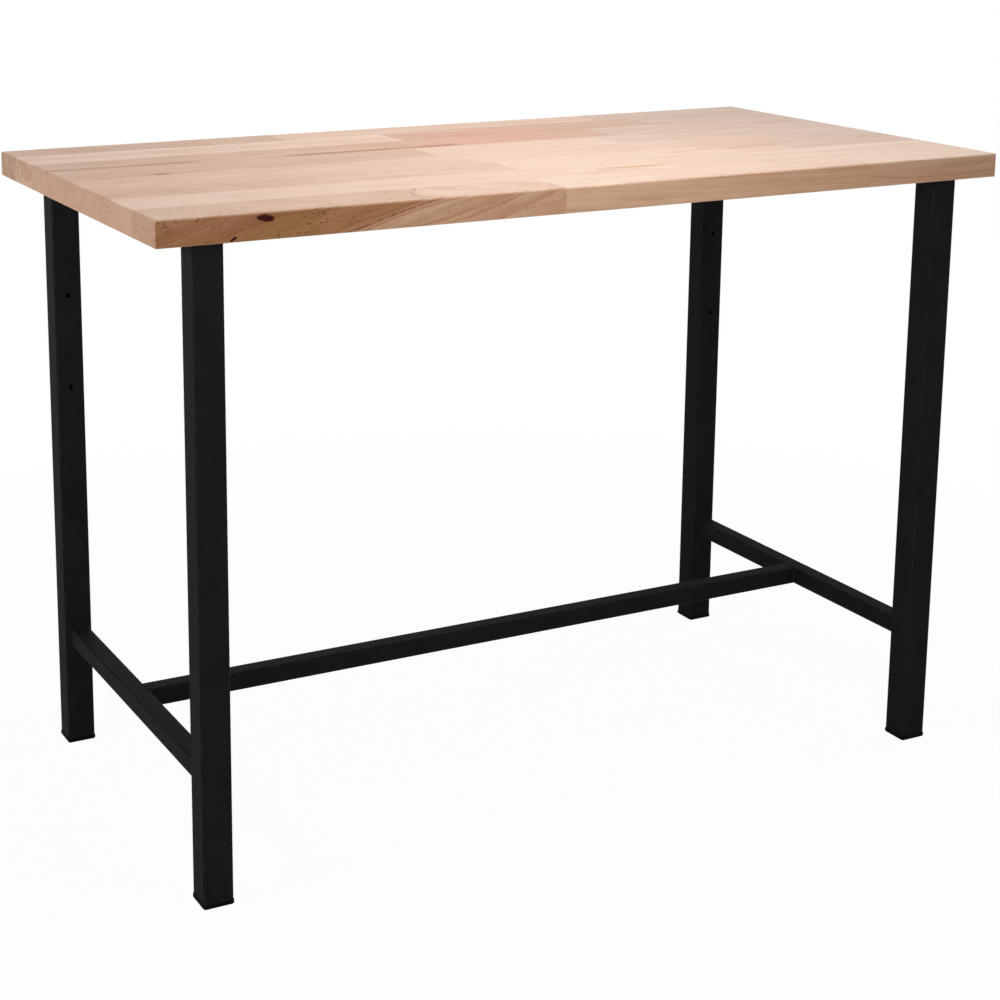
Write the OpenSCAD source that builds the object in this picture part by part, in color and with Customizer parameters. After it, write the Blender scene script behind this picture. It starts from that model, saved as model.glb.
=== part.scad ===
// Workshop bench: a solid beech top, glued up from staves, on a welded base of square steel tube.
// The origin is on the floor at the middle of the footprint. +X is right, +Y back and +Z up.
// All sizes are in millimetres.

/* [Worktop] */
// Length of the top
top_l = 1200; // [900:10:2000]
// Depth of the top
top_d = 600; // [500:10:900]
// Thickness of the top
top_t = 32; // [22:1:60]
// Width of a stave; the back row is ripped to what is left of the depth
stave_w = 76.5; // [40:0.5:120]
// Narrowest row that is glued on; the row in front takes up less than this
rip_min = 20; // [10:1:40]
// Butt joints in each row of staves, from the left end, front row first
stave_joints = [[522, 985], [127, 738], [545, 985], [530, 1040], [511, 800], [285, 835], [538, 958], [390, 905]];
// Radius on the four upper edges of the top
top_edge_r = 3; // [1:0.5:6]
// Radius that breaks its lower edges and its upright corners
top_break_r = 1; // [0.5:0.5:3]

/* [Base] */
// Height from the floor to the face of the top
bench_h = 840; // [700:5:1000]
// Overhang of the top past the legs at each end
end_overhang = 50; // [10:1:150]
// Overhang of the top past the legs at the front and back
side_overhang = 20; // [5:1:80]
// Width of the square leg tube
leg_w = 38; // [30:1:60]
// Wall of the leg tube
leg_wall = 2; // [1.5:0.5:4]
// Outside corner radius of the leg tube
leg_corner_r = 3; // [2:0.5:6]
// Width of the square rail tube
rail_w = 25; // [20:1:30]
// Wall of the rail tube
rail_wall = 2; // [1.5:0.5:3]
// Outside corner radius of the rail tube
rail_corner_r = 2.5; // [2:0.5:4]
// Height of the rails' upper faces above the floor
rail_top_z = 172; // [100:1:400]

/* [Accessory holes] */
// Height of the lower hole in each leg
hole_z = 518; // [300:1:600]
// Distance between the two holes
hole_pitch = 128; // [32:32:192]
// Diameter of the holes
hole_d = 6.5; // [4:0.5:10]

/* [Mounting bars] */
// Thickness of the flat bars on the legs
bar_t = 4; // [3:0.5:8]
// Number of screws that hold the top to each bar
screw_count = 5; // [3:2:7]
// Distance between the screws
screw_pitch = 100; // [60:5:120]
// Diameter of the screws
screw_d = 5; // [4:0.5:6]
// Wood left above the points of the screws
screw_cover = 6; // [4:1:12]
// Play of the screws across the width of their holes in the bar
bar_play = 1; // [0.5:0.5:2]
// Extra length of the slots, which lets the wood move across its grain
slot_travel = 8; // [4:1:16]

/* [Foot caps] */
// Height of the cap below the tube
cap_h = 5; // [3:1:12]
// How far the cap stands out past the tube
cap_lip = 1; // [0.5:0.5:2]
// Chamfer round the foot of the cap
cap_chamfer = 1; // [0.5:0.5:2]
// Depth of the plug inside the tube
plug_h = 16; // [10:1:30]
// Wall of the hollow plug
plug_wall = 2.5; // [2:0.5:4]
// How far the ribs stand out of the plug
rib_out = 1.4; // [0.8:0.2:2]
// Thickness of a rib
rib_t = 1.2; // [0.8:0.2:2]
// Number of ribs on the plug
rib_count = 3; // [2:1:4]

/* [Welds] */
// Leg length of the beads between rail and leg
leg_bead = 3.5; // [2:0.5:5]
// Leg length of the beads where the long rail meets the side rails
tee_bead = 5; // [3:0.5:6]

/* [Hidden] */
$fn = 48;
// clearance of a rib in its tube, of a screw in its pilot hole and of a bead round its tube
rib_fit = 0.1;
pilot_fit = 0.05;
bead_fit = 0.05;
// overrun of a cut past the face that it opens
cut = 1;
// how full a bead is: the crown's distance from the root, as a share of the bead's leg
bead_crown = 0.6;
screw_head_d = 1.9 * screw_d;
screw_head_h = 0.56 * screw_d;
screw_point = 1.2 * screw_d;

top_z = bench_h - top_t;
bar_z = top_z - bar_t;
leg_x = top_l / 2 - end_overhang - leg_w / 2;
leg_y = top_d / 2 - side_overhang - leg_w / 2;
rail_z = rail_top_z - rail_w / 2;
leg_face_y = leg_y - leg_w / 2;
rail_face_x = leg_x - rail_w / 2;
// the ring of bead stays on the flat of the leg tube
ring_bead = max(1, min(leg_bead, (leg_w - rail_w) / 2 - leg_corner_r - bead_fit));
screw_l = bar_t + top_t - screw_cover;
screw_ys = [for (i = [0 : screw_count - 1]) (i - (screw_count - 1) / 2) * screw_pitch];

rows = 1 + floor((top_d - rip_min) / stave_w);
function row_y(r) = r < rows ? r * stave_w - top_d / 2 : top_d / 2;
function row_joints(r) = [for (x = stave_joints[r % len(stave_joints)]) if (x < top_l) x - top_l / 2];
function row_xs(r) = concat([-top_l / 2], row_joints(r), [top_l / 2]);
function stave_name(r, k) = str("worktop_stave_", r + 1, chr(ord("a") + k));

sides = [["left", -1], ["right", 1]];
corners = [["front_left", -1, -1], ["front_right", 1, -1], ["rear_left", -1, 1], ["rear_right", 1, 1]];

beech = [0.87, 0.74, 0.63];
black_steel = [0.1, 0.1, 0.1];
black_plastic = [0.06, 0.06, 0.06];
zinc = [0.75, 0.76, 0.78];

// A square with rounded corners, made of true arcs.
module rounded_square(w, r) {
    square([w, w - 2 * r], center = true);
    square([w - 2 * r, w], center = true);
    for (x = [-1, 1], y = [-1, 1])
        translate([x, y] * (w / 2 - r))
            circle(r);
}

// A square tube along +Z from the origin.
module tube(w, wall, r, l) {
    linear_extrude(l)
        difference() {
            rounded_square(w, r);
            rounded_square(w - 2 * wall, r > wall ? r - wall : r / 4);
        }
}

// A rectangle with one radius on its upper corners and another on its lower ones.
module slab_profile(w, h, upper_r, lower_r) {
    for (half = [[upper_r, 0], [lower_r, 1]])
        mirror([0, half[1], 0]) {
            translate([half[0] - w / 2, 0])
                square([w - 2 * half[0], h / 2]);
            for (side = [-1, 1])
                translate([side * (w / 2 - half[0]), h / 2 - half[0]])
                    circle(half[0]);
        }
    translate([-w / 2, lower_r - h / 2])
        square([w, h - upper_r - lower_r]);
}

// The whole top before it is divided into staves, rounded along every outer edge.
module top_blank() {
    translate([0, 0, top_z + top_t / 2])
        intersection() {
            rotate([90, 0, 90])
                linear_extrude(top_l, center = true)
                    slab_profile(top_d, top_t, top_edge_r, top_break_r);
            rotate([90, 0, 0])
                linear_extrude(top_d, center = true)
                    slab_profile(top_l, top_t, top_edge_r, top_break_r);
            linear_extrude(top_t, center = true)
                slab_profile(top_l, top_d, top_break_r, top_break_r);
        }
}

// Stave k of row r: its share of the blank, less the pilot holes that reach it.
module stave(r, k) {
    x0 = row_xs(r)[k];
    x1 = row_xs(r)[k + 1];
    y0 = row_y(r);
    y1 = row_y(r + 1);
    pilot_r = screw_d / 2 + pilot_fit;
    color(beech * (0.92 + 0.04 * ((2 * r + 3 * k) % 4)))
        difference() {
            intersection() {
                top_blank();
                translate([x0, y0, top_z])
                    cube([x1 - x0, y1 - y0, top_t]);
            }
            for (x = [-leg_x, leg_x], y = screw_ys)
                if (x > x0 - pilot_r && x < x1 + pilot_r && y > y0 - pilot_r && y < y1 + pilot_r)
                    translate([x, y, top_z - cut])
                        cylinder(r = pilot_r, h = top_t - screw_cover + pilot_fit + cut);
        }
}

// A flat bar across the tops of the front and the rear leg. The middle screw has a round hole and
// the others have slots, so that the wood can swell and shrink from the middle outwards.
module mounting_bar(side) {
    hole_r = (screw_d + bar_play) / 2;
    bar_l = 2 * leg_y + leg_w;
    color(black_steel)
        difference() {
            translate([side * leg_x - leg_w / 2, -bar_l / 2, bar_z])
                cube([leg_w, bar_l, bar_t]);
            for (y = screw_ys) {
                travel = y == 0 ? 0 : slot_travel;
                translate([side * leg_x, y, bar_z - cut])
                    linear_extrude(bar_t + 2 * cut) {
                        square([2 * hole_r, travel + 0.001], center = true);
                        for (end = [-1, 1])
                            translate([0, end * travel / 2])
                                circle(hole_r);
                    }
            }
        }
}

// A pan-head wood screw, driven up along +Z, with the seat of its head at the origin.
module screw() {
    difference() {
        rotate_extrude()
            polygon([
                [0, -screw_head_h],
                [0.3 * screw_head_d, -screw_head_h],
                [0.45 * screw_head_d, -0.7 * screw_head_h],
                [0.5 * screw_head_d, -0.3 * screw_head_h],
                [0.5 * screw_head_d, 0],
                [screw_d / 2, 0],
                [screw_d / 2, screw_l - screw_point],
                [0, screw_l]
            ]);
        // cross recess
        for (a = [0, 90])
            rotate(a)
                translate([0, 0, -screw_head_h])
                    cube([0.55 * screw_head_d, 0.12 * screw_head_d, screw_head_h], center = true);
    }
}

module worktop_screws(side) {
    color(zinc)
        for (y = screw_ys)
            translate([side * leg_x, y, bar_z])
                screw();
}

// A leg tube with two accessory holes through the wall that faces the middle of the bench.
module leg(sx, sy) {
    color(black_steel)
        difference() {
            translate([sx * leg_x, sy * leg_y, cap_h])
                tube(leg_w, leg_wall, leg_corner_r, bar_z - cap_h);
            for (z = [hole_z, hole_z + hole_pitch])
                translate([sx * leg_x, sy * (leg_face_y + leg_wall / 2), z])
                    rotate([90, 0, 0])
                        cylinder(d = hole_d, h = leg_wall + 2 * cut, center = true);
        }
}

// A square pad with rounded corners and a chamfer round its lower edge.
module pad(w, r, h, c) {
    for (a = [0, 90])
        rotate(a)
            rotate([90, 0, 0])
                linear_extrude(w - 2 * r, center = true)
                    polygon([[w / 2 - c, 0], [w / 2, c], [w / 2, h], [-w / 2, h], [-w / 2, c], [c - w / 2, 0]]);
    for (x = [-1, 1], y = [-1, 1])
        translate([x * (w / 2 - r), y * (w / 2 - r), 0]) {
            cylinder(r1 = r - c, r2 = r, h = c);
            translate([0, 0, c])
                cylinder(r = r, h = h - c);
        }
}

// A ribbed plastic plug that closes the lower end of a leg and stands on the floor.
module foot_cap(sx, sy) {
    bore = leg_w - 2 * leg_wall;
    rib_w = bore - 2 * rib_fit;
    plug_w = rib_w - 2 * rib_out;
    rib_pitch = plug_h / (rib_count + 0.5);
    color(black_plastic)
        translate([sx * leg_x, sy * leg_y, 0]) {
            pad(leg_w + 2 * cap_lip, leg_corner_r + cap_lip, cap_h, cap_chamfer);
            translate([0, 0, cap_h])
                difference() {
                    union() {
                        linear_extrude(plug_h)
                            rounded_square(plug_w, plug_wall / 2);
                        for (i = [1 : rib_count])
                            translate([0, 0, i * rib_pitch - rib_t / 2])
                                linear_extrude(rib_t)
                                    rounded_square(rib_w, rib_out + rib_fit);
                    }
                    linear_extrude(plug_h + cut)
                        rounded_square(plug_w - 2 * plug_wall, plug_wall / 4);
                }
        }
}

// A side rail between the flat faces of the front and the rear leg.
module side_rail(side) {
    color(black_steel)
        translate([side * leg_x, -leg_face_y, rail_z])
            rotate([-90, 0, 0])
                tube(rail_w, rail_wall, rail_corner_r, 2 * leg_face_y);
}

// The long rail between the side rails.
module long_rail() {
    color(black_steel)
        translate([-rail_face_x, 0, rail_z])
            rotate([0, 90, 0])
                tube(rail_w, rail_wall, rail_corner_r, 2 * rail_face_x);
}

// Section of a bead: its root at the origin, a leg on each axis and a crowned face between them.
module bead_section(a) {
    polygon([[0, 0], [a, 0], [bead_crown * a, bead_crown * a], [0, a]]);
}

// A straight bead along +Z, with its legs on +X and +Y.
module straight_bead(a, l) {
    linear_extrude(l, center = true)
        bead_section(a);
}

// A bead right round the end of a tube that stands on the plane z = 0.
module ring_weld(w, r, a) {
    half = w / 2 + bead_fit;
    for (q = [0 : 3])
        rotate(90 * q) {
            translate([half, 0, 0])
                rotate([90, 0, 0])
                    linear_extrude(w - 2 * r, center = true)
                        bead_section(a);
            translate([w / 2 - r, w / 2 - r, 0])
                rotate_extrude(angle = 90)
                    translate([r + bead_fit, 0])
                        bead_section(a);
        }
}

// The beads of one end frame: rings round the side rail's ends, and one under the bar at each leg.
module weld_beads(side) {
    color(black_steel)
        for (sy = [-1, 1]) {
            translate([side * leg_x, sy * leg_face_y, rail_z])
                rotate([sy * 90, 0, 0])
                    ring_weld(rail_w, rail_corner_r, ring_bead);
            translate([side * leg_x, sy * leg_face_y, bar_z])
                rotate([sy > 0 ? 180 : -90, 0, 0])
                    rotate([90, 0, 90])
                        straight_bead(leg_bead, leg_w - 2 * leg_corner_r);
        }
}

// The beads of the long rail: fillets up its sides, and flush beads that fill the valleys over the
// rounded edges of the side rails.
module weld_beads_long_rail() {
    flat = rail_w - 2 * rail_corner_r;
    valley = rail_corner_r * (2 - sqrt(2)) - bead_fit;
    color(black_steel)
        for (sx = [-1, 1])
            translate([sx * rail_face_x, 0, rail_z])
                mirror([sx > 0 ? 1 : 0, 0, 0]) {
                    for (sy = [-1, 1])
                        mirror([0, sy < 0 ? 1 : 0, 0])
                            translate([0, rail_w / 2, 0])
                                straight_bead(tee_bead, flat);
                    for (sz = [-1, 1])
                        mirror([0, 0, sz < 0 ? 1 : 0])
                            translate([0, 0, rail_w / 2])
                                rotate([90, 0, 0])
                                    linear_extrude(flat, center = true)
                                        polygon([[0, 0], [-valley, 0], [0, -valley]]);
                }
}

for (r = [0 : rows - 1], k = [0 : len(row_xs(r)) - 2])
    stave(r, k);
for (s = sides) {
    mounting_bar(s[1]);
    worktop_screws(s[1]);
    side_rail(s[1]);
    weld_beads(s[1]);
}
for (c = corners) {
    leg(c[1], c[2]);
    foot_cap(c[1], c[2]);
}
long_rail();
weld_beads_long_rail();
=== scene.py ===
"""Looks for the workbench: staved beech top, black powder-coated base, studio light and camera."""

import math

import bmesh
import bpy
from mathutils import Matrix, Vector

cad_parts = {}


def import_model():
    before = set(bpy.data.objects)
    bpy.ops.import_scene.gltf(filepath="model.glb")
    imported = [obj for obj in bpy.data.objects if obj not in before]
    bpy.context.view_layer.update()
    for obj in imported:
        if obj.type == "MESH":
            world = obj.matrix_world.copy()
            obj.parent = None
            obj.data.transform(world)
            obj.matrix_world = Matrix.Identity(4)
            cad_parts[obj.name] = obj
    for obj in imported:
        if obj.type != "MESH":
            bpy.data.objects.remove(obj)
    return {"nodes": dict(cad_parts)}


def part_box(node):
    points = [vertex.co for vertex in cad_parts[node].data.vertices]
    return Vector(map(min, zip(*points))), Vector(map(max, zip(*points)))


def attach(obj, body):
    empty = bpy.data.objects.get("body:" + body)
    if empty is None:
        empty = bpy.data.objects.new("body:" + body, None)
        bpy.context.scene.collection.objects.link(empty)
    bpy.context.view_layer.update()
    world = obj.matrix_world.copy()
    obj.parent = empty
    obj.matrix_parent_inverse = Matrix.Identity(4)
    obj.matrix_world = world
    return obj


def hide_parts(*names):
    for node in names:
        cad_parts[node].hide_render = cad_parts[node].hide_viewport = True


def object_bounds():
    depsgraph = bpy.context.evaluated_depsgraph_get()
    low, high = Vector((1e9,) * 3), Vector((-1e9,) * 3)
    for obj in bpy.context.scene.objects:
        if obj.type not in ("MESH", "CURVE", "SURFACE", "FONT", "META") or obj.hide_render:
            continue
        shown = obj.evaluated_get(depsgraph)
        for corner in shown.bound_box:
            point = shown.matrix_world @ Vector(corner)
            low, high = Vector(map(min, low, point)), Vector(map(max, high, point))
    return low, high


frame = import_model()
cad_box = [list(corner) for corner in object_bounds()]
nodes = frame["nodes"]

MM = 0.001


# Node helpers
def rgb(red, green, blue):
    """Linear colour from 8-bit sRGB values."""
    def linear(value):
        c = value / 255
        return c / 12.92 if c <= 0.04045 else ((c + 0.055) / 1.055) ** 2.4
    return (linear(red), linear(green), linear(blue), 1.0)


class Tree:
    """A thin layer over a node tree: a call makes a node and links or sets its inputs."""

    NODES_PER_LINE = 12
    NODE_PITCH = (180, -220)

    def __init__(self, tree):
        self.tree = tree
        self.count = 0

    def node(self, kind, inputs=(), **settings):
        """Makes a node. Its inputs come in order or by key, and its settings by name."""
        made = self.tree.nodes.new(kind)
        self.count += 1
        line, column = divmod(self.count, self.NODES_PER_LINE)
        made.location = (self.NODE_PITCH[0] * column, self.NODE_PITCH[1] * line)
        for key, value in settings.items():
            setattr(made, key, value)
        pairs = inputs.items() if isinstance(inputs, dict) else enumerate(inputs)
        for key, value in pairs:
            self.feed(made.inputs[key], value)
        return made

    def feed(self, socket, value):
        """Links a socket to another one, or sets its value."""
        if isinstance(value, bpy.types.NodeSocket):
            self.tree.links.new(value, socket)
        else:
            socket.default_value = value

    def math(self, operation, *values, clamp=False):
        """One step of arithmetic on numbers."""
        return self.node("ShaderNodeMath", values, operation=operation, use_clamp=clamp).outputs[0]

    def product(self, first, *others):
        """Values multiplied together."""
        for value in others:
            first = self.math("MULTIPLY", first, value)
        return first

    def total(self, first, *others):
        """Values added together."""
        for value in others:
            first = self.math("ADD", first, value)
        return first

    def rise(self, value, start, gain):
        """A start, and a value times a gain on top."""
        return self.math("ADD", start, self.math("MULTIPLY", value, gain))

    def around(self, value, gain):
        """How far a value from 0 to 1 is from its middle, times a gain."""
        return self.math("MULTIPLY", self.math("SUBTRACT", value, 0.5), gain)

    def vector(self, operation, *values):
        """One step of arithmetic on vectors; a length or a dot product gives a number."""
        made = self.node("ShaderNodeVectorMath", values, operation=operation)
        return made.outputs["Value" if operation in ("LENGTH", "DOT_PRODUCT") else 0]

    def scale(self, vector, factor):
        """A vector times a number."""
        made = self.node("ShaderNodeVectorMath", {0: vector, "Scale": factor}, operation="SCALE")
        return made.outputs[0]

    def parts(self, vector):
        """The three numbers of a vector."""
        return self.node("ShaderNodeSeparateXYZ", [vector]).outputs

    def join(self, x, y, z):
        """A vector out of three numbers."""
        return self.node("ShaderNodeCombineXYZ", [x, y, z]).outputs[0]

    def ramp(self, value, low, high, to_low=0.0, to_high=1.0, smooth=True):
        """Maps low..high to to_low..to_high, clamped."""
        return self.node("ShaderNodeMapRange", [value, low, high, to_low, to_high],
                         interpolation_type="SMOOTHSTEP" if smooth else "LINEAR").outputs[0]

    def noise(self, vector, scale=1.0, detail=2.0, roughness=0.5):
        """Noise: output 0 is its value and output 1 its colour."""
        return self.node("ShaderNodeTexNoise", {"Vector": vector, "Scale": scale, "Detail": detail,
                                                "Roughness": roughness}).outputs

    def grain(self, vector, waves, detail=2.0, roughness=0.5):
        """Stretched noise, with its own waves for each axis."""
        return self.noise(self.vector("MULTIPLY", vector, waves), 1.0, detail, roughness)

    def mix(self, factor, a, b, blend="MIX"):
        """Mixes two colours, which are sockets 6 and 7 of the node and come out of its socket 2."""
        return self.node("ShaderNodeMix", {0: factor, 6: a, 7: b}, data_type="RGBA",
                         blend_type=blend).outputs[2]

    def tint(self, factor, color, by):
        """A colour multiplied by another, as far as the factor goes."""
        return self.mix(factor, color, self.mix(1.0, color, by, "MULTIPLY"))

    def place(self):
        """The place on the object, in millimetres."""
        return self.scale(self.node("ShaderNodeTexCoord").outputs["Object"], 1 / MM)


def material(name):
    """A new material with an empty tree, its Principled shader and its layer of helpers."""
    made = bpy.data.materials.new(name)
    made.use_nodes = True
    made.node_tree.nodes.clear()
    layer = Tree(made.node_tree)
    shader = layer.node("ShaderNodeBsdfPrincipled")
    output = layer.node("ShaderNodeOutputMaterial")
    layer.tree.links.new(shader.outputs[0], output.inputs[0])
    return made, layer, shader


def dress(layer, shader, color, roughness):
    """Feeds the colour and the roughness of a shader."""
    layer.feed(shader.inputs["Base Color"], color)
    layer.feed(shader.inputs["Roughness"], roughness)


def relief(layer, shader, height, strength, depth):
    """Gives a shader fine relief, with its depth in metres."""
    bump = layer.node("ShaderNodeBump", {"Strength": strength, "Distance": depth, "Height": height})
    layer.feed(shader.inputs["Normal"], bump.outputs[0])


def paint(node, made):
    """Puts a material on a CAD node."""
    for slot in nodes[node].material_slots:
        slot.material = made


# Beech
# Beech is a solid texture: growth rings round a pith that runs along the stave, cut by its faces.
# Waves are the steps of a noise per millimetre, along the log and both ways across it.
RING_MM = 4.2
SEED_SHIFT = (311.0, 1.0, 57.0)
HALF = (0.5, 0.5, 0.5)
BEND_WAVES = (0.0035, 0.014, 0.014)
BEND_MM = (0.0, 34.0, 34.0)
RIPPLE_WAVES = (0.022, 0.11, 0.11)
RIPPLE_MM = (0.0, 4.0, 4.0)
FIBRE_WAVES = (0.018, 0.95, 0.95)
STREAK_WAVES = (0.005, 0.12, 0.12)
CLOUD_WAVES = (0.009, 0.02, 0.02)
BLOTCH_WAVES = (0.010, 0.032, 0.032)
PATCH_WAVES = (0.03, 0.25, 0.25)
FLECK_WAVES = (0.17, 0.80, 0.80)
FLECK_EDGE = (0.585, 0.665)
CROWD_WAVES = (0.016, 0.075, 0.075)
CROWD_EDGE = (0.47, 0.60)

# a knot's wobbly outline, its soft edge, and how far it pushes the rings aside
KNOT_WAVE = 0.22
KNOT_WOBBLE_MM = 3.4
KNOT_EDGE = (0.70, 1.20)
KNOT_FADE = -0.06
KNOT_PUSH_MM = 9.0
LEAST_KNOT_MM = 0.01

# rings are uneven in width, and the late wood of some years is much darker than that of others
UNEVEN_WAVE = 0.035
UNEVEN_RINGS = 2.6
LATE_POWER = 5.0
LATE_END = (0.93, 1.0)
YEAR_LEAST = 0.25
YEAR_POWER = 3.0
YEAR_GAIN = 2.2

# how much each part of the figure moves the colour from pale to deep
MEAN_DEPTH = 0.36
LATE_DEPTH = 0.75
YEAR_DEPTH = 0.30
FIBRE_DEPTH = 0.75
STREAK_DEPTH = 0.80
CLOUD_DEPTH = 0.9
DRIFT_DEPTH = 0.2
DRIFT_MM = 300.0

# a face starts to count as an end, and is one, at these shares of its normal along the bench
END_NORMAL = (0.5, 0.9)
# what is left of figure, flecks, heart and stain on the faces that show less of them
TOP_FIGURE = 0.55
TOP_HEART = 0.30
END_HEART = 0.32
OFF_FLANK_FLECKS = 0.38
SIDE_STAIN = 0.1

# the heart lies above an uneven edge, whose height is given from the stave's middle, and has a
# dark rim there; where it isn't, some flecks are taken away
HEART_EDGE = (-14.5, -4.5)
HEART_RIM = -11.5
RIM_FADE = -1.1
RIM_EDGE = (0.40, 0.52)
CALM_SHARE = 0.65

# tints multiply the colour of the wood
BLUSH_TINT = (1.27, 0.74, 0.68, 1.0)
BLUSH_WAVES = (0.0058, 0.0125, 0.0012)
BLUSH_PATCHES = (0.30, 0.60, 0.45, 1.0)
# the sides' tint is partly painted shade: it makes every side face warmer and darker than the top
SIDE_WARMTH_AND_SHADE = (1.14, 0.97, 0.81, 1.0)
HEART_TINTS = ((0.71, 0.57, 0.45, 1.0), (0.64, 0.53, 0.36, 1.0))
HEART_PATCHES = (0.40, 0.60)
MARK_TINT = (0.42, 0.27, 0.18, 1.0)
HALO_TINT = (0.66, 0.50, 0.38, 1.0)
FLECK_SHARE = 0.8
RIM_SHARE = 0.7
HALO_SHARE = 0.30
END_PALE = rgb(222, 180, 151)
END_DEEP = rgb(208, 163, 132)
GLUE = rgb(140, 96, 66)
GLUE_MM = (0.05, 0.45)
GLUE_SHARE = 0.35

# end grain is evened out, but less so where the figure is strong
EVEN_FIGURE = (1.6, 1.8)
EVEN_SHARE = (0.7, 0.25)

# a stain fades over these distances at its ends and its sides
STAIN_ENDS_MM = (-12.0, 25.0)
STAIN_SIDES_MM = (-4.0, 5.0)
STAIN_RAGGED_MM = 16.0
STAIN_PATCHES = (0.32, 0.58, 0.45, 1.0)

# roughness and relief of the wood
WOOD_ROUGH = 0.41
FIBRE_ROUGH = 0.35
FLECK_ROUGH = 0.12
FIBRE_HEIGHT = 0.6
LATE_HEIGHT = 0.25
FLECK_HEIGHT = -0.45
GLUE_HEIGHT = -0.6

GROUP_INPUTS = {
    "Vector": ["Centre", "Turn", "Pith", "Low", "High", "Knot A", "Shape A", "Knot B", "Shape B",
               "Stain Low", "Stain High", "Blush"],
    "Float": ["Seed", "Ring", "Figure", "Drift", "Flecks", "Heart", "Stain"],
    "Color": ["Pale", "Deep", "Knot Tint", "Stain Tint"],
}
GROUP_OUTPUTS = {"Color": ["Color"], "Float": ["Roughness", "Height"]}


def log_place(t, given, local):
    """The place in a straight log, and in the log as it grew, which isn't quite straight or round."""
    turned = t.node("ShaderNodeMapping", {"Vector": local, "Rotation": given["Turn"],
                                          "Location": given["Pith"]}).outputs[0]
    straight = t.vector("ADD", turned, t.scale(SEED_SHIFT, given["Seed"]))
    bend = t.vector("SUBTRACT", t.grain(straight, BEND_WAVES)[1], HALF)
    ripple = t.vector("SUBTRACT", t.grain(straight, RIPPLE_WAVES, detail=3.0)[1], HALF)
    grown = t.vector("ADD", turned, t.vector("MULTIPLY", bend, BEND_MM))
    return straight, t.vector("ADD", grown, t.vector("MULTIPLY", ripple, RIPPLE_MM))


def knots(t, given, place):
    """How much of a knot's dark core a place has, and how much the rings swell round it."""
    cores = []
    swells = []
    wobble = t.around(t.noise(place, KNOT_WAVE, 3.0)[0], KNOT_WOBBLE_MM)
    for letter in "AB":
        x, y, z = t.parts(t.vector("SUBTRACT", place, given["Knot " + letter]))
        # a knot's shape is its stretch, lean and radius
        stretch, lean, radius = t.parts(given["Shape " + letter])
        slant = t.math("MULTIPLY", x, lean)
        away = t.join(t.math("DIVIDE", x, stretch), t.math("SUBTRACT", y, slant),
                      t.math("SUBTRACT", z, slant))
        far = t.math("ADD", t.vector("LENGTH", away), wobble)
        share = t.math("DIVIDE", far, t.math("MAXIMUM", radius, LEAST_KNOT_MM))
        cores.append(t.ramp(share, *KNOT_EDGE, 1.0, 0.0))
        swells.append(t.math("EXPONENT", t.product(share, share, KNOT_FADE)))
    return t.math("MAXIMUM", *cores), t.math("ADD", *swells)


def growth_rings(t, given, grown, swell):
    """How dark the late wood is, and a random value for each year."""
    across = t.parts(grown)
    radius = t.vector("LENGTH", t.join(0.0, across[1], across[2]))
    radius = t.math("ADD", radius, t.math("MULTIPLY", swell, KNOT_PUSH_MM))
    uneven = t.noise(t.join(t.math("MULTIPLY", radius, UNEVEN_WAVE), given["Seed"], 0.0))[0]
    rings = t.math("ADD", t.math("DIVIDE", radius, given["Ring"]),
                   t.math("MULTIPLY", uneven, UNEVEN_RINGS))
    label = t.join(t.math("FLOOR", rings), given["Seed"], 0.0)
    year = t.node("ShaderNodeTexWhiteNoise", {"Vector": label}, noise_dimensions="3D").outputs[0]
    phase = t.math("FRACT", rings)
    late = t.math("MULTIPLY", t.math("POWER", phase, LATE_POWER), t.ramp(phase, *LATE_END, 1.0, 0.0))
    strength = t.rise(t.math("POWER", year, YEAR_POWER), YEAR_LEAST, YEAR_GAIN)
    return t.math("MULTIPLY", late, strength), year


def box_gap(t, place, low, high):
    """How far inside a box a place is, on each axis; less than 0 is outside."""
    return t.parts(t.vector("MINIMUM", t.vector("SUBTRACT", place, low),
                            t.vector("SUBTRACT", high, place)))


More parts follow.
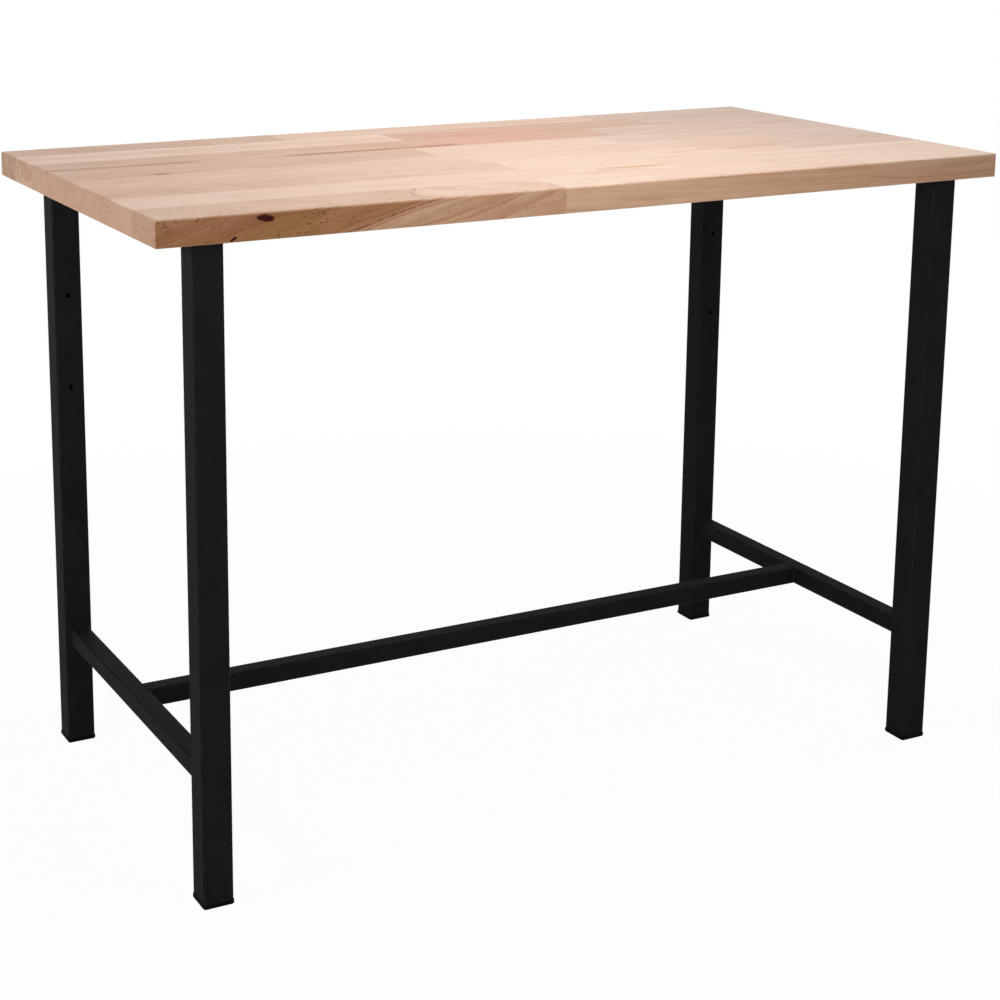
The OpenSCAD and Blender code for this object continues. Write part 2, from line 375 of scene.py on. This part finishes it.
def beech_group():
    """The node group that all staves share."""
    tree = bpy.data.node_groups.new("beech", "ShaderNodeTree")
    for way, sockets in (("INPUT", GROUP_INPUTS), ("OUTPUT", GROUP_OUTPUTS)):
        for kind, names in sockets.items():
            for name in names:
                tree.interface.new_socket(name=name, in_out=way, socket_type="NodeSocket" + kind)
    t = Tree(tree)
    given = t.node("NodeGroupInput").outputs
    place = t.place()
    local = t.vector("SUBTRACT", place, given["Centre"])
    straight, grown = log_place(t, given, local)
    core, swell = knots(t, given, place)
    late, year = growth_rings(t, given, grown, swell)
    fibre = t.grain(straight, FIBRE_WAVES, detail=4.0, roughness=0.62)[0]
    streak = t.grain(straight, STREAK_WAVES)[0]
    cloud = t.grain(straight, CLOUD_WAVES)[0]
    blotch = t.grain(straight, BLOTCH_WAVES, detail=3.0)[0]
    dash = t.grain(straight, FLECK_WAVES, detail=2.5, roughness=0.6)[0]

    # the sides are the faces that look sideways: the ends, and the flanks at the front and back
    normal = t.parts(t.node("ShaderNodeTexCoord").outputs["Normal"])
    side = t.math("SUBTRACT", 1.0, t.math("ABSOLUTE", normal[2]), clamp=True)
    end = t.ramp(t.math("ABSOLUTE", normal[0]), *END_NORMAL)
    flank = t.math("SUBTRACT", side, end, clamp=True)

    # the small dark flecks of the rays stand in crowds
    inward = t.math("SUBTRACT", t.parts(grown)[2], t.parts(given["Pith"])[2])
    in_heart = t.ramp(inward, *HEART_EDGE)
    calm = t.math("MULTIPLY", given["Heart"], t.ramp(in_heart, 0.0, 1.0, CALM_SHARE, 0.0, smooth=False))
    crowd = t.ramp(t.grain(straight, CROWD_WAVES)[0], *CROWD_EDGE)
    fleck = t.product(t.ramp(dash, *FLECK_EDGE), crowd, given["Flecks"],
                      t.ramp(flank, 0.0, 1.0, OFF_FLANK_FLECKS, 1.0), t.math("SUBTRACT", 1.0, calm))

    # pale to deep: the sides show more figure than the top, and some staves drift along their length
    figure = t.math("MULTIPLY", given["Figure"], t.ramp(side, 0.0, 1.0, TOP_FIGURE, 1.0, smooth=False))
    depth = t.total(t.math("MULTIPLY", late, LATE_DEPTH), t.around(year, YEAR_DEPTH),
                    t.around(fibre, FIBRE_DEPTH), t.around(streak, STREAK_DEPTH),
                    t.around(cloud, CLOUD_DEPTH))
    depth = t.math("ADD", t.math("MULTIPLY", depth, figure), MEAN_DEPTH)
    along = t.ramp(t.parts(local)[0], -DRIFT_MM, DRIFT_MM, -DRIFT_DEPTH, DRIFT_DEPTH, smooth=False)
    depth = t.math("ADD", depth, t.math("MULTIPLY", along, given["Drift"]), clamp=True)
    color = t.mix(depth, given["Pale"], given["Deep"])

    # a rosy patch, round the point that is given
    off = t.vector("MULTIPLY", t.vector("SUBTRACT", place, given["Blush"]), BLUSH_WAVES)
    blush = t.math("EXPONENT", t.math("MULTIPLY", t.vector("DOT_PRODUCT", off, off), -1.0))
    blush = t.math("MULTIPLY", blush, t.ramp(blotch, *BLUSH_PATCHES))
    color = t.tint(blush, color, BLUSH_TINT)

    # the sides are painted warmer and a little darker than the top, partly as a warmer side grain and
    # partly as painted shade on the sides, and end grain takes the oil more evenly
    color = t.tint(side, color, SIDE_WARMTH_AND_SHADE)
    even = t.ramp(given["Figure"], *EVEN_FIGURE, *EVEN_SHARE)
    color = t.mix(t.math("MULTIPLY", end, even), color, t.mix(depth, END_PALE, END_DEEP))

    # amber heartwood
    heart = t.product(in_heart, given["Heart"], t.ramp(end, 0.0, 1.0, 1.0, END_HEART, smooth=False),
                      t.ramp(side, 0.0, 1.0, TOP_HEART, 1.0, smooth=False))
    color = t.tint(heart, color, t.mix(t.ramp(blotch, *HEART_PATCHES), *HEART_TINTS))

    # dark marks: the flecks, the rim of the heart, and the knots with a halo round them
    from_rim = t.math("POWER", t.math("SUBTRACT", inward, HEART_RIM), 2.0)
    rim = t.product(t.math("EXPONENT", t.math("MULTIPLY", from_rim, RIM_FADE)),
                    t.ramp(dash, *RIM_EDGE), given["Heart"])
    mark = t.math("MAXIMUM", t.math("MULTIPLY", fleck, FLECK_SHARE), t.math("MULTIPLY", rim, RIM_SHARE))
    color = t.tint(t.math("MULTIPLY", mark, figure, clamp=True), color, MARK_TINT)
    halo = t.math("MULTIPLY", t.math("SUBTRACT", swell, core, clamp=True), HALO_SHARE)
    color = t.tint(halo, color, HALO_TINT)
    color = t.mix(core, color, given["Knot Tint"])

    # a dark stain within a soft-edged box
    inside = box_gap(t, place, given["Stain Low"], given["Stain High"])
    ragged = t.around(streak, STAIN_RAGGED_MM)
    patchy = t.grain(straight, PATCH_WAVES, detail=3.0)[0]
    stain = t.product(t.ramp(inside[0], *STAIN_ENDS_MM),
                      t.ramp(t.math("ADD", inside[1], ragged), *STAIN_SIDES_MM),
                      t.ramp(patchy, *STAIN_PATCHES),
                      given["Stain"], t.ramp(side, 0.0, 1.0, 1.0, SIDE_STAIN))
    color = t.tint(stain, color, given["Stain Tint"])

    # glue lines along the stave's joints
    gap = box_gap(t, place, given["Low"], given["High"])
    glue = t.ramp(t.math("MINIMUM", gap[0], gap[1]), *GLUE_MM, 1.0, 0.0)
    color = t.mix(t.math("MULTIPLY", glue, GLUE_SHARE), color, GLUE)

    rough = t.math("ADD", WOOD_ROUGH, t.around(fibre, FIBRE_ROUGH))
    rough = t.math("ADD", rough, t.math("MULTIPLY", fleck, FLECK_ROUGH), clamp=True)
    height = t.total(t.math("MULTIPLY", fibre, FIBRE_HEIGHT), t.math("MULTIPLY", late, LATE_HEIGHT),
                     t.math("MULTIPLY", fleck, FLECK_HEIGHT), t.math("MULTIPLY", glue, GLUE_HEIGHT))
    t.node("NodeGroupOutput", {"Color": color, "Roughness": rough, "Height": height})
    return tree


# pale and deep colour of each kind of stave, and the kinds of the staves from the front row back
TONES = {
    "pale": (rgb(211, 185, 166), rgb(188, 151, 127)),
    "mid": (rgb(203, 173, 152), rgb(177, 138, 113)),
    "tan": (rgb(192, 160, 138), rgb(164, 126, 100)),
    # the greyer tone of the right-hand staves is partly painted cool reflection, on top of their own
    # tone
    "cool": (rgb(198, 173, 157), rgb(172, 139, 117)),
    "fair": (rgb(207, 179, 159), rgb(183, 145, 120)),
}
ROW_TONES = ["fair pale pale", "pale pale pale", "mid pale cool", "mid fair cool",
             "tan pale cool", "tan tan cool", "pale tan cool", "tan fair cool"]
LETTERS = "abc"

# what sets single staves apart; a turn is in degrees, and places are in millimetres
NO_PLACE = (0.0, 0.0, -900.0)
ROUND = (1.0, 0.0, 0.0)
COMMON = {
    "Ring": RING_MM, "Figure": 1.0, "Drift": 0.0, "Flecks": 0.25, "Heart": 0.0, "Stain": 0.0,
    "Blush": NO_PLACE, "Stain Low": NO_PLACE, "Stain High": NO_PLACE,
    "Knot A": NO_PLACE, "Shape A": ROUND, "Knot B": NO_PLACE, "Shape B": ROUND,
    "Knot Tint": rgb(60, 8, 2), "Stain Tint": (0.60, 0.44, 0.31, 1.0),
}
SPECIAL = {
    "1a": {"Ring": 6.0, "Figure": 1.5, "Flecks": 1.6, "Heart": 1.0,
           "Turn": (0.0, 16.0, 2.0), "Pith": (0.0, 30.0, -150.0),
           "Knot A": (-469.5, -300.0, 832.8), "Shape A": (2.9, -0.10, 4.2),
           "Knot B": (-508.0, -300.0, 812.0), "Shape B": (2.6, 0.34, 2.2)},
    "1b": {"Drift": 0.9},
    "2b": {"Drift": -0.6, "Stain": 1.0, "Stain Tint": (0.84, 0.67, 0.49, 1.0),
           "Stain Low": (35.0, -201.0, 800.0), "Stain High": (155.0, -182.0, 850.0)},
    "3a": {"Drift": -1.2, "Flecks": 6.0},
    "3b": {"Drift": 1.0},
    "4a": {"Drift": -0.8, "Flecks": 1.6},
    "4b": {"Drift": 0.8},
    "5a": {"Drift": -0.5, "Flecks": 1.6, "Knot Tint": rgb(122, 78, 50),
           "Knot A": (-477.0, 13.0, 840.0), "Shape A": (2.3, 0.0, 5.4),
           "Knot B": (-518.0, -8.0, 840.0), "Shape B": (1.5, 0.0, 1.8)},
    "5c": {"Stain": 0.35, "Stain Low": (246.0, 70.0, 800.0), "Stain High": (477.0, 78.0, 850.0)},
    "6a": {"Stain": 0.8, "Stain Low": (-620.0, 88.0, 800.0), "Stain High": (-390.0, 103.0, 850.0)},
    "6b": {"Blush": (40.0, 130.0, 0.0), "Flecks": 0.5, "Stain": 1.0,
           "Stain Low": (-270.0, 86.0, 800.0), "Stain High": (-8.0, 101.0, 850.0)},
    "7a": {"Ring": 8.0, "Figure": 1.8},
    "7b": {"Blush": (50.0, 166.0, 0.0), "Flecks": 0.5},
    "8a": {"Ring": 7.0, "Figure": 1.9, "Flecks": 1.0},
}
# a side without a joint is moved out by this much, so that it has no glue line
OPEN_MM = 100.0
NEAR_MM = 1.0
# how far a stave's cut may turn, and where its pith may lie to the side and below
TURN_DEG = (0.0, 1.6, 1.8)
PITH_SWING_MM = 46.0
PITH_DEPTH_MM = (-34.0, -30.0)
BEECH_GLOSS = 0.1
BEECH_RELIEF = (0.35, 0.2 * MM)


def stave_material(group, name, tone):
    """Beech for one stave, with its own cut of the log."""
    low, high = (Vector(corner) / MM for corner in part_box("worktop_stave_" + name))
    index = len(LETTERS) * int(name[0]) + LETTERS.index(name[1])
    # two values from -1 to 1 that differ from stave to stave in no visible order
    swing = math.sin(12.9 * index)
    lean = math.sin(7.3 * index + 1.0)
    pith_depth = PITH_DEPTH_MM[0] + PITH_DEPTH_MM[1] * abs(lean)
    values = {"Centre": (low + high) / 2, "Seed": float(index),
              "Turn": (TURN_DEG[0], TURN_DEG[1] * lean, TURN_DEG[2] * swing),
              "Pith": (0.0, PITH_SWING_MM * swing, pith_depth)}
    values["Pale"], values["Deep"] = TONES[tone]
    values.update(COMMON)
    values.update(SPECIAL.get(name, {}))
    values["Turn"] = [math.radians(angle) for angle in values["Turn"]]
    top_low, top_high = (Vector(corner) / MM for corner in cad_box)
    for axis in (0, 1):
        if low[axis] < top_low[axis] + NEAR_MM:
            low[axis] -= OPEN_MM
        if high[axis] > top_high[axis] - NEAR_MM:
            high[axis] += OPEN_MM
    values["Low"], values["High"] = low, high
    made, layer, shader = material("beech_" + name)
    wood = layer.node("ShaderNodeGroup", node_tree=group)
    for key, value in values.items():
        layer.feed(wood.inputs[key], value)
    dress(layer, shader, wood.outputs["Color"], wood.outputs["Roughness"])
    shader.inputs["Specular IOR Level"].default_value = BEECH_GLOSS
    relief(layer, shader, wood.outputs["Height"], *BEECH_RELIEF)
    return made


beech = beech_group()
for row, tones in enumerate(ROW_TONES, 1):
    for letter, tone in zip(LETTERS, tones.split()):
        paint(f"worktop_stave_{row}{letter}", stave_material(beech, f"{row}{letter}", tone))


# Steel, plastic and zinc
LEG_CORNER_MM = 3.0
RAIL_CORNER_MM = 2.5

# a noise is given by its waves per millimetre, its detail and its roughness
COAT_PEEL = (0.9, 3.0, 0.55)
COAT_CLOUD = (0.02, 3.0)
COAT_SPECK = (4.0, 2.0)
COAT_TONES = (rgb(33, 33, 34), rgb(37, 37, 38))
TONE_PATCHES = (0.3, 0.7)
SPECK_TONE = rgb(46, 46, 46)
SPECK_PATCHES = (0.60, 0.75)
SPECK_SHARE = 0.4
COAT_ROUGH = (0.50, 0.16)
COAT_GLOSS = 0.012
COAT_RELIEF = (0.25, 0.12 * MM)

# the rub on a tube's edge begins and is full at these distances in from its outermost line
RUB_MM = (1.6, 0.5)
RUB_NOISE = (0.05, 4.0)
RUB_PATCHES = (0.46, 0.66)
RUB_TONE = rgb(62, 62, 62)
RUB_SHARE = 0.22

PLASTIC_GRAIN = (2.2, 3.0, 0.6)
PLASTIC_TONE = rgb(14, 14, 14)
PLASTIC_ROUGH = (0.5, 0.2)
PLASTIC_GLOSS = 0.02
PLASTIC_RELIEF = (0.3, 0.1 * MM)
SCUFF_WAVES = (0.05, 0.05, 0.8)
SCUFF_PATCHES = (0.5, 0.75)
SCUFF_TONE = rgb(34, 34, 34)
SCUFF_SHARE = 0.5

ZINC_CLOUD = (0.6, 3.0)
ZINC_TONES = (rgb(190, 194, 200), rgb(160, 164, 172))
ZINC_ROUGH = (0.22, 0.2)


def powder_coat(name, worn=None):
    """Satin black powder coat: orange peel, a faint mottle, and a little rub on the edges."""
    made, layer, shader = material(name)
    place = layer.place()
    peel = layer.noise(place, *COAT_PEEL)[0]
    cloud = layer.noise(place, *COAT_CLOUD)[0]
    speck = layer.ramp(layer.noise(place, *COAT_SPECK)[0], *SPECK_PATCHES)
    color = layer.mix(layer.ramp(cloud, *TONE_PATCHES), *COAT_TONES)
    color = layer.mix(layer.math("MULTIPLY", speck, SPECK_SHARE), color, SPECK_TONE)
    if worn is not None:
        centre, axes, reach = worn
        away = layer.parts(layer.vector("ABSOLUTE", layer.vector("SUBTRACT", place, centre)))
        corner = layer.math("ADD", away[axes[0]], away[axes[1]])
        edge = layer.ramp(corner, reach - RUB_MM[0], reach - RUB_MM[1])
        rub = layer.ramp(layer.noise(place, *RUB_NOISE)[0], *RUB_PATCHES)
        color = layer.mix(layer.product(edge, rub, RUB_SHARE), color, RUB_TONE)
    dress(layer, shader, color, layer.rise(cloud, *COAT_ROUGH))
    shader.inputs["Specular IOR Level"].default_value = COAT_GLOSS
    relief(layer, shader, peel, *COAT_RELIEF)
    return made


def tube_material(node, axes, corner_mm):
    """Powder coat with its rub on the rounded edges of one tube; axes are the two across it."""
    low, high = (Vector(corner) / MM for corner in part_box(node))
    width = (high - low)[axes[0]]
    reach = width - corner_mm * (2 - math.sqrt(2))
    return powder_coat("powder_coat_" + node, ((low + high) / 2, axes, reach))


def moulded_plastic():
    """Matt black plastic with a fine grain and light scuffs."""
    made, layer, shader = material("moulded_plastic")
    place = layer.place()
    grain = layer.noise(place, *PLASTIC_GRAIN)[0]
    scuff = layer.ramp(layer.grain(place, SCUFF_WAVES, detail=4.0)[0], *SCUFF_PATCHES)
    color = layer.mix(layer.math("MULTIPLY", scuff, SCUFF_SHARE), PLASTIC_TONE, SCUFF_TONE)
    dress(layer, shader, color, layer.rise(grain, *PLASTIC_ROUGH))
    shader.inputs["Specular IOR Level"].default_value = PLASTIC_GLOSS
    relief(layer, shader, grain, *PLASTIC_RELIEF)
    return made


def zinc_plate():
    """Cloudy zinc plate."""
    made, layer, shader = material("zinc_plate")
    cloud = layer.noise(layer.place(), *ZINC_CLOUD)[0]
    dress(layer, shader, layer.mix(cloud, *ZINC_TONES), layer.rise(cloud, *ZINC_ROUGH))
    shader.inputs["Metallic"].default_value = 1.0
    return made


CORNERS = ("front_left", "front_right", "rear_left", "rear_right")
SIDES = ("left", "right")
plain_coat = powder_coat("powder_coat")
cap_plastic = moulded_plastic()
zinc = zinc_plate()
for corner in CORNERS:
    paint("leg_" + corner, tube_material("leg_" + corner, (0, 1), LEG_CORNER_MM))
    paint("foot_cap_" + corner, cap_plastic)
for side in SIDES:
    paint("side_rail_" + side, tube_material("side_rail_" + side, (0, 2), RAIL_CORNER_MM))
    paint("mounting_bar_" + side, plain_coat)
    paint("weld_beads_" + side, plain_coat)
    paint("worktop_screws_" + side, zinc)
paint("long_rail", tube_material("long_rail", (1, 2), RAIL_CORNER_MM))
paint("weld_beads_long_rail", plain_coat)


# Weld beads
# the leg of each fillet, half the width of a flush bead, and how proud a fillet is crowned
LEG_BEAD = 3.45 * MM
TEE_BEAD = 5.0 * MM
VALLEY = 1.4 * MM
CROWN = 0.2
# ripples: their pitch, height as a share of the bead, bow as a share of the pitch, and fading
RIPPLE_PITCH = 1.7 * MM
RIPPLE_SHARE = 0.075
RIPPLE_BOW = 0.45
RIPPLE_TOE = 0.7
# a straight bead begins with this share of its size and is full after the taper
END_FULL = 0.25
END_TAPER = 0.9 * MM
STEP = 0.34 * MM
FILLET_STEPS = 8
CORNER_STEPS = 6
FILLET_LIFT = (0.7, 0.7)
FLUSH_LIFT = (0.0, 1.0)
SEED_STEP = 1.7
# size, waves per millimetre and share of the seed, for the width of a bead and its ripples
WIDTH_WANDER = ((0.045, 0.61, 1), (0.03, 1.37, 2))
RIPPLE_WANDER = (0.12, 0.9, 1)
QUARTER = math.pi / 2


def fillet_section(leg):
    """Points (u, v, ripple share) of a crowned fillet, from one toe to the other."""
    points = []
    for i in range(FILLET_STEPS + 1):
        angle = QUARTER * i / FILLET_STEPS
        bulge = math.sin(2 * angle)
        reach = leg * (1 + CROWN * bulge) / (math.cos(angle) + math.sin(angle))
        points.append((reach * math.cos(angle), reach * math.sin(angle), bulge ** RIPPLE_TOE))
    return points


def valley_section(leg):
    """A flush bead over the rounded edge of a rail, a little proud of both faces."""
    return [(-leg, 0.0, 0.0), (-0.7 * leg, 0.22 * leg, 0.7), (-0.2 * leg, 0.36 * leg, 1.0),
            (0.3 * leg, 0.32 * leg, 1.0), (0.75 * leg, 0.16 * leg, 0.6), (leg, 0.0, 0.0)]


def straight_path(middle, along, length, u, v):
    """Stations (place, u, v, fullness) of a straight bead whose ends taper off."""
    count = round(length / STEP)
    stations = []
    for i in range(count + 1):
        run = length * i / count
        left = min(run, length - run) / END_TAPER
        full = END_FULL + (1 - END_FULL) * math.sqrt(1 - (1 - min(left, 1.0)) ** 2)
        stations.append((middle + along * (run - length / 2), u, v, full))
    return stations


def ring_path(middle, first, second, away, width, radius):
    """Stations of a bead right round a square tube that ends on a flat face."""
    def direction(angle):
        return first * math.cos(angle) + second * math.sin(angle)

    stations = []
    flat = width / 2 - radius
    lines = round(2 * flat / STEP)
    for quarter in range(4):
        turn = quarter * QUARTER
        centre = direction(turn + QUARTER / 2) * flat * math.sqrt(2)
        for i in range(CORNER_STEPS):
            out = direction(turn + QUARTER * i / CORNER_STEPS)
            stations.append((middle + centre + out * radius, out, away, 1.0))
        out = direction(turn + QUARTER)
        along = direction(turn + 2 * QUARTER)
        for i in range(lines):
            run = flat - 2 * flat * i / lines
            stations.append((middle + out * (width / 2) - along * run, out, away, 1.0))
    return stations


def sway(wave, run, seed):
    """A slow wave along a bead."""
    size, waves, turns = wave
    return size * math.sin(waves * run / MM + turns * seed)


def add_bead(mesh, stations, section, lift, closed, seed):
    """Sweeps a bead: each ripple is a crescent, and the bead's width wanders a little."""
    loops = []
    run = 0.0
    before = stations[0][0]
    for place, u, v, full in stations:
        run += (place - before).length
        before = place
        wander = 1 + sum(sway(wave, run, seed) for wave in WIDTH_WANDER)
        loop = [mesh.verts.new(place)]
        for a, b, share in section:
            phase = run / RIPPLE_PITCH + RIPPLE_BOW * share + sway(RIPPLE_WANDER, run, seed)
            crest = 1 - 2 * abs(phase % 1.0 - 0.5)
            ripple = RIPPLE_SHARE * share * crest * abs(section[0][0]) * full
            loop.append(mesh.verts.new(place + u * (a * full * wander + ripple * lift[0])
                                       + v * (b * full * wander + ripple * lift[1])))
        loops.append(loop)
    pairs = list(zip(loops, loops[1:]))
    if closed:
        pairs.append((loops[-1], loops[0]))
    else:
        for loop in (loops[0], loops[-1]):
            mesh.faces.new(loop)
    count = len(loops[0])
    for one, two in pairs:
        for i in range(count):
            j = (i + 1) % count
            mesh.faces.new((one[i], one[j], two[j], two[i]))


def weld_piece(name, replaced, beads):
    """One object out of several beads, in place of a CAD node."""
    mesh = bmesh.new()
    for number, (stations, section, lift, closed) in enumerate(beads):
        add_bead(mesh, stations, section, lift, closed, SEED_STEP * number)
    bmesh.ops.recalc_face_normals(mesh, faces=mesh.faces[:])
    for face in mesh.faces:
        face.smooth = True
    data = bpy.data.meshes.new(name)
    mesh.to_mesh(data)
    mesh.free()
    data.materials.append(plain_coat)
    made = bpy.data.objects.new(name, data)
    bpy.context.collection.objects.link(made)
    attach(made, "root")
    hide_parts(replaced)


X, Y, Z = Vector((1, 0, 0)), Vector((0, 1, 0)), Vector((0, 0, 1))
leg_section = fillet_section(LEG_BEAD)
tee_section = fillet_section(TEE_BEAD)
flush_section = valley_section(VALLEY)
rail_corner = RAIL_CORNER_MM * MM
for side in SIDES:
    low, high = (Vector(corner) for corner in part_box("side_rail_" + side))
    bar_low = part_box("mounting_bar_" + side)[0][2]
    leg_low, leg_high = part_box("leg_front_" + side)
    flat = leg_high[0] - leg_low[0] - 2 * LEG_CORNER_MM * MM
    middle = (low + high) / 2
    beads = []
    for face, away in ((low.y, Y), (high.y, -Y)):
        ring = ring_path(Vector((middle.x, face, middle.z)), X, Z, away, high.x - low.x, rail_corner)
        beads.append((ring, leg_section, FILLET_LIFT, True))
        under = straight_path(Vector((middle.x, face, bar_low)), X, flat, away, -Z)
        beads.append((under, leg_section, FILLET_LIFT, False))
    weld_piece("welds_" + side, "weld_beads_" + side, beads)

low, high = (Vector(corner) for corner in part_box("long_rail"))
flat = high.z - low.z - 2 * rail_corner
height = (low.z + high.z) / 2
beads = []
for end, inward in ((low.x, X), (high.x, -X)):
    for face, out in ((low.y, -Y), (high.y, Y)):
        upright = straight_path(Vector((end, face, height)), Z, flat, inward, out)
        beads.append((upright, tee_section, FILLET_LIFT, False))
    for level, out in ((low.z, -Z), (high.z, Z)):
        flush = straight_path(Vector((end, 0.0, level)), Y, flat, inward, out)
        beads.append((flush, flush_section, FLUSH_LIFT, False))
weld_piece("welds_long_rail", "weld_beads_long_rail", beads)


# Floor, world, light and camera
FLOOR_HALF = 9.0
FLOOR_LEVEL = -0.3 * MM
FLOOR_GREY = (0.86, 0.86, 0.86, 1.0)
# near the bench the floor keeps a little of its own shade, and so the shadow
SHADOW_REACH = (0.9, 2.0)
NEAR_WHITE = 0.97
AMBIENT = 0.06
WHITE = (1.0, 1.0, 1.0)
SKY_BLUE = (0.40, 0.78, 1.0)
# place, target, width, height, watts and colour of each softbox
SOFTBOXES = {
    "overhead": ((0.06, -0.06, 2.0), (0.06, -0.06, 0.8), 0.9, 0.6, 20.0, WHITE),
    "sky": ((1.6, 0.35, 1.75), (0.6, 0.1, 0.84), 0.8, 0.8, 3.0, SKY_BLUE),
    "front": ((0.02, -0.90, 1.12), (0.02, -0.3, 0.82), 0.6, 0.4, 2.0, WHITE),
    "left": ((-1.25, -0.03, 0.98), (-0.6, -0.03, 0.82), 0.9, 0.2, 3.1, WHITE),
    "key": ((-1.3, -2.5, 1.0), (-0.2, -0.2, 0.6), 1.6, 1.2, 15.8, WHITE),
    "rear": ((0.3, 2.2, 0.36), (0.0, 0.3, 0.7), 2.2, 0.6, 10.0, WHITE),
    "right": ((2.5, 0.3, 0.36), (0.6, 0.0, 0.7), 1.6, 0.6, 14.0, WHITE),
}
SENSOR_MM = 36.0
FOCAL_PX = 2009.4
FRAME_PX = 1000.0
PRINCIPAL_PX = (400.0, 284.0)
EYE_PLACE = (-1.3335, -2.3365, 1.2169)
EYE_TURN_DEG = (78.257, -0.137, -26.843)
CLIP = (0.05, 100.0)


def backdrop(layer, share):
    """Factor for plain white: the share for camera, mirrored and transmitted rays, else 0."""
    rays = layer.node("ShaderNodeLightPath").outputs
    seen = layer.math("MAXIMUM", rays["Is Camera Ray"],
                      layer.math("MAXIMUM", rays["Is Glossy Ray"], rays["Is Transmission Ray"]))
    return layer.math("MULTIPLY", seen, share)


def floor():
    """A pale floor that looks white and keeps the bench's shadow."""
    size, level = FLOOR_HALF, FLOOR_LEVEL
    corners = [(-size, -size, level), (size, -size, level), (size, size, level), (-size, size, level)]
    mesh = bpy.data.meshes.new("floor")
    mesh.from_pydata(corners, [], [(0, 1, 2, 3)])
    made = bpy.data.objects.new("floor", mesh)
    bpy.context.collection.objects.link(made)
    surface = bpy.data.materials.new("floor_white")
    surface.use_nodes = True
    surface.node_tree.nodes.clear()
    layer = Tree(surface.node_tree)
    matt = layer.node("ShaderNodeBsdfDiffuse", {"Color": FLOOR_GREY})
    white = layer.node("ShaderNodeEmission", {"Color": (*WHITE, 1.0), "Strength": 1.0})
    place = layer.node("ShaderNodeTexCoord").outputs["Object"]
    share = layer.ramp(layer.vector("LENGTH", place), *SHADOW_REACH, NEAR_WHITE, 1.0)
    both = layer.node("ShaderNodeMixShader", [backdrop(layer, share), matt.outputs[0], white.outputs[0]])
    layer.node("ShaderNodeOutputMaterial", [both.outputs[0]])
    mesh.materials.append(surface)


def world():
    """A dim even light, which looks white."""
    made = bpy.data.worlds.new("studio")
    bpy.context.scene.world = made
    made.use_nodes = True
    made.node_tree.nodes.clear()
    layer = Tree(made.node_tree)
    dim = layer.node("ShaderNodeBackground", {"Color": (*WHITE, 1.0), "Strength": AMBIENT})
    white = layer.node("ShaderNodeBackground", {"Color": (*WHITE, 1.0), "Strength": 1.0})
    both = layer.node("ShaderNodeMixShader", [backdrop(layer, 1.0), dim.outputs[0], white.outputs[0]])
    layer.node("ShaderNodeOutputWorld", [both.outputs[0]])


def softbox(name, place, target, width, height, power, color):
    """A rectangular lamp that faces its target and isn't seen itself."""
    light = bpy.data.lights.new(name, "AREA")
    light.shape = "RECTANGLE"
    light.size = width
    light.size_y = height
    light.energy = power
    light.color = color
    made = bpy.data.objects.new(name, light)
    made.location = place
    made.rotation_euler = (Vector(target) - Vector(place)).to_track_quat("-Z", "Y").to_euler()
    made.visible_camera = False
    bpy.context.collection.objects.link(made)


floor()
world()
for name, settings in SOFTBOXES.items():
    softbox(name, *settings)

camera = bpy.data.cameras.new("camera")
camera.sensor_width = SENSOR_MM
camera.lens = SENSOR_MM * FOCAL_PX / FRAME_PX
camera.shift_x = 0.5 - PRINCIPAL_PX[0] / FRAME_PX
camera.shift_y = PRINCIPAL_PX[1] / FRAME_PX - 0.5
camera.clip_start, camera.clip_end = CLIP
eye = bpy.data.objects.new("camera", camera)
eye.location = EYE_PLACE
eye.rotation_euler = [math.radians(angle) for angle in EYE_TURN_DEG]
bpy.context.collection.objects.link(eye)
bpy.context.scene.camera = eye
bpy.context.scene.view_settings.view_transform = "Standard"
